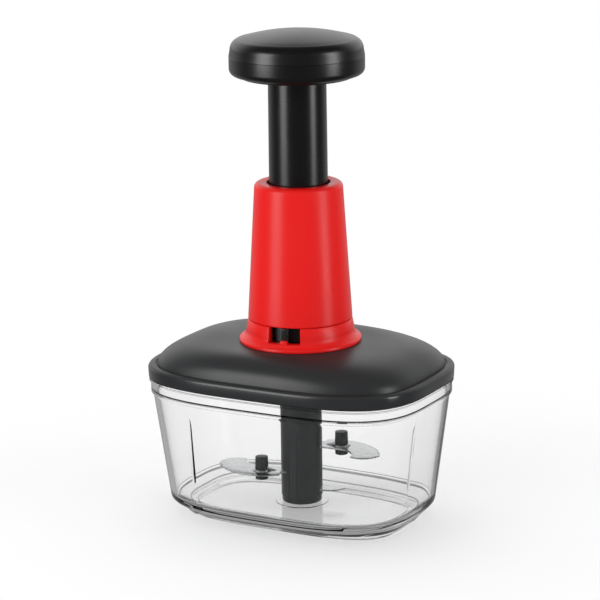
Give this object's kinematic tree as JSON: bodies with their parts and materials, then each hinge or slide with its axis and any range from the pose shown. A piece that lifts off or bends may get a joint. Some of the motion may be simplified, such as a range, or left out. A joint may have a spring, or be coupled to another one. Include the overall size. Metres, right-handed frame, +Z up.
{
  "type": "plunger food chopper",
  "caption": "Hand chopper with a clear oblong bowl, a domed lid and a palm plunger that spins stacked blades through a twisted drive shaft.",
  "frame": {"origin": "under the middle of the bowl's foot, on the surface it stands on", "axes": "+Z up along the spindle and plunger; X along the bowl's long side; the lock window faces -Y"},
  "size_m": [0.1772, 0.128, 0.2951],
  "materials": {
    "clear_plastic": "clear moulded copolyester",
    "lid_plastic": "satin charcoal moulding",
    "red_plastic": "satin red moulding",
    "black_plastic": "satin black moulding",
    "white_plastic": "natural acetal",
    "seal_rubber": "translucent silicone",
    "blade_steel": "ground stainless steel",
    "steel": "bright steel"
  },
  "bodies": {
    "bowl_unit": {"bowl": "clear_plastic", "pivot_pin": "steel"},
    "lid_unit": {"lid_cover": "lid_plastic", "lid_inner_plate": "black_plastic", "lid_seal": "seal_rubber", "lid_screws": "steel", "collar": "red_plastic", "housing_sleeve": "red_plastic", "guide_tube": "black_plastic", "tower_screws": "steel", "shaft_bush": "white_plastic", "thrust_washer": "white_plastic"},
    "plunger": {"plunger_tube": "black_plastic", "drive_nut": "white_plastic", "knob_base": "black_plastic", "knob_cap": "black_plastic", "knob_screw": "steel", "return_spring": "steel"},
    "lock": {"lock_slider": "black_plastic"},
    "drive": {"twisted_shaft": "steel", "clutch_hub": "white_plastic", "clutch_pawls": "steel", "output_coupling": "white_plastic", "retaining_clip": "steel"},
    "blade_unit": {"spindle": "black_plastic", "spindle_foot": "black_plastic", "blade_lock_strip": "black_plastic", "blade_high": "blade_steel", "blade_mid": "blade_steel", "blade_low": "blade_steel", "peg_high": "black_plastic", "peg_mid": "black_plastic"}
  },
  "joints": [
    {"name": "lid_lift", "type": "slide", "parent": "bowl_unit", "child": "lid_unit", "axis": [0, 0, 1], "range_m": [0, 0.1]},
    {"name": "plunger_press", "type": "slide", "parent": "lid_unit", "child": "plunger", "axis": [0, 0, -1], "range_m": [0, 0.06], "stiffness_N_per_m": 180, "springref_m": -0.03, "deforming": ["return_spring"]},
    {"name": "lock_turn", "type": "hinge", "parent": "lid_unit", "child": "lock", "pos_m": [0, 0, 0.12], "axis": [0, 0, 1], "range_deg": [-9, 9]},
    {"name": "drive_spin", "type": "hinge", "parent": "lid_unit", "child": "drive", "pos_m": [0, 0, 0.1], "axis": [0, 0, 1], "continuous": true},
    {"name": "blade_spin", "type": "hinge", "parent": "bowl_unit", "child": "blade_unit", "pos_m": [0, 0, 0.02], "axis": [0, 0, 1], "continuous": true}
  ],
  "couplings": [
    {"joint": "drive_spin", "follows": "plunger_press", "rad_per_m": 209.44},
    {"joint": "blade_spin", "follows": "plunger_press", "rad_per_m": 209.44}
  ]
}
